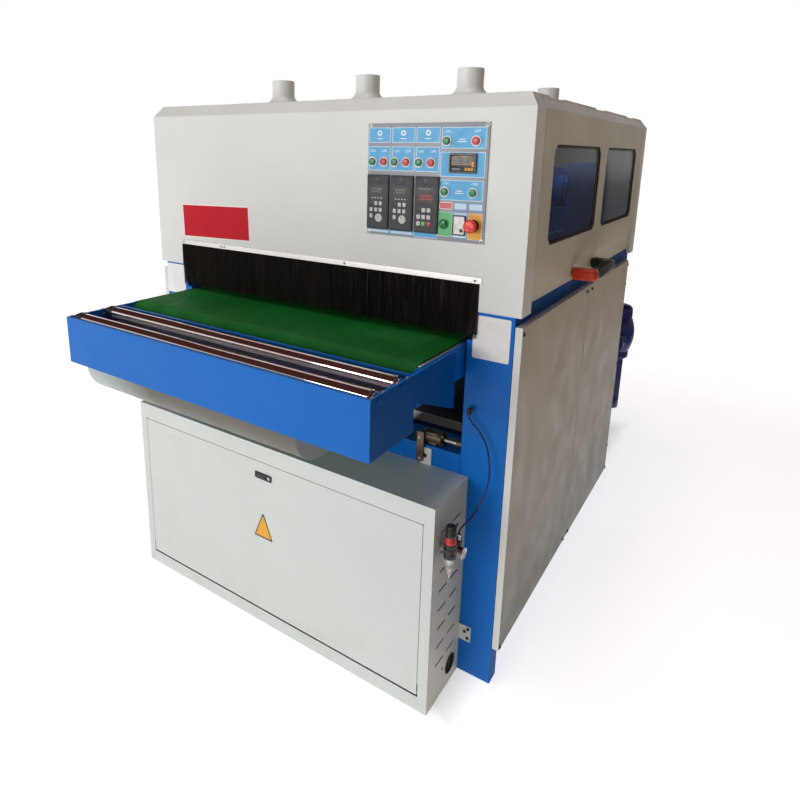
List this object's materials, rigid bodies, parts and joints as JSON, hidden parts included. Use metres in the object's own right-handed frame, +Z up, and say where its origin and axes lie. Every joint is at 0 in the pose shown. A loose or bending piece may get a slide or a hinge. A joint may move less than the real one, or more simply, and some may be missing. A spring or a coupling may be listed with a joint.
{
  "type": "sheet metal brushing machine",
  "caption": "Wide brushing machine for flat sheet: belt conveyor through a post frame, windowed hood with swing-up doors, roller trays, electrical cabinet.",
  "frame": {"origin": "on the floor at the middle of the machine's width and length", "axes": "+X to the right seen from the infeed end, +Y along the sheet's travel, +Z up"},
  "size_m": [1.868, 2.87, 2.143],
  "materials": {
    "blue_paint": "satin paint",
    "cream_paint": "fine textured powder coat",
    "grey_paint": "satin paint",
    "navy_paint": "gloss paint on castings",
    "tinted_pane": "smoked",
    "black_plastic": "moulded",
    "white_plastic": "moulded",
    "bare_steel": "brushed",
    "chrome_roll": "polished",
    "bristle": "nylon bristle",
    "belt_green": "coated belt",
    "brush_brown": "abrasive nylon",
    "cylinder_bronze": "bare casting",
    "hose_black": "smooth",
    "panel_grey": "printed panel",
    "button_green": "moulded",
    "button_red": "moulded",
    "drive_grey": "moulded",
    "meter_black": "moulded"
  },
  "bodies": {
    "machine": {"front_posts": "blue_paint", "rear_posts": "blue_paint", "crossbars": "blue_paint", "top_rails": "blue_paint", "base_rails": "blue_paint", "side_panels_left": "cream_paint", "side_panels_right": "cream_paint", "rear_panel": "cream_paint", "hood_front": "cream_paint", "hood_rear": "cream_paint", "hood_roof": "cream_paint", "dust_ports": "white_plastic", "curtain_strips": "bare_steel", "bristle_curtains": "bristle", "head_plates": "grey_paint", "brush_heads": "blue_paint", "brush_rolls": "brush_brown", "conveyor_bed": "blue_paint", "conveyor_belt": "belt_green", "belt_drums": "bare_steel", "infeed_tray": "blue_paint", "outfeed_tray": "blue_paint", "drip_pan": "cream_paint", "tracking_cylinder": "cylinder_bronze", "cabinet_body": "cream_paint", "air_regulator": "black_plastic", "air_hose": "hose_black", "gearmotor": "navy_paint", "control_panel": "panel_grey", "green_buttons": "button_green", "red_buttons": "button_red", "speed_drives": "drive_grey", "panel_meters": "meter_black"},
    "hood_door_left": {"hood_door_left": "cream_paint", "windows_left": "tinted_pane", "door_handle_left": "black_plastic"},
    "hood_door_right": {"hood_door_right": "cream_paint", "windows_right": "tinted_pane", "door_handle_right": "black_plastic"},
    "cabinet_door": {"cabinet_door": "cream_paint", "cabinet_latch": "black_plastic"},
    "infeed_roller_outer": {"infeed_roller_outer": "chrome_roll"},
    "infeed_roller_inner": {"infeed_roller_inner": "chrome_roll"},
    "outfeed_roller_outer": {"outfeed_roller_outer": "chrome_roll"},
    "outfeed_roller_inner": {"outfeed_roller_inner": "chrome_roll"}
  },
  "joints": [
    {"name": "hood_door_left_swing", "type": "hinge", "parent": "machine", "child": "hood_door_left", "pos_m": [-0.814, 0, 2.043], "axis": [0, 1, 0], "range_deg": [0, 75]},
    {"name": "hood_door_right_swing", "type": "hinge", "parent": "machine", "child": "hood_door_right", "pos_m": [0.814, 0, 2.043], "axis": [0, -1, 0], "range_deg": [0, 75]},
    {"name": "cabinet_door_drop", "type": "hinge", "parent": "machine", "child": "cabinet_door", "pos_m": [-0.027, -1.083, 0.07], "axis": [1, 0, 0], "range_deg": [0, 90]},
    {"name": "infeed_roller_outer_spin", "type": "hinge", "parent": "machine", "child": "infeed_roller_outer", "pos_m": [0, -1.392, 1.252], "axis": [1, 0, 0], "continuous": true},
    {"name": "infeed_roller_inner_spin", "type": "hinge", "parent": "machine", "child": "infeed_roller_inner", "pos_m": [0, -1.264, 1.252], "axis": [1, 0, 0], "continuous": true},
    {"name": "outfeed_roller_outer_spin", "type": "hinge", "parent": "machine", "child": "outfeed_roller_outer", "pos_m": [0, 1.392, 1.252], "axis": [1, 0, 0], "continuous": true},
    {"name": "outfeed_roller_inner_spin", "type": "hinge", "parent": "machine", "child": "outfeed_roller_inner", "pos_m": [0, 1.264, 1.252], "axis": [1, 0, 0], "continuous": true}
  ]
}
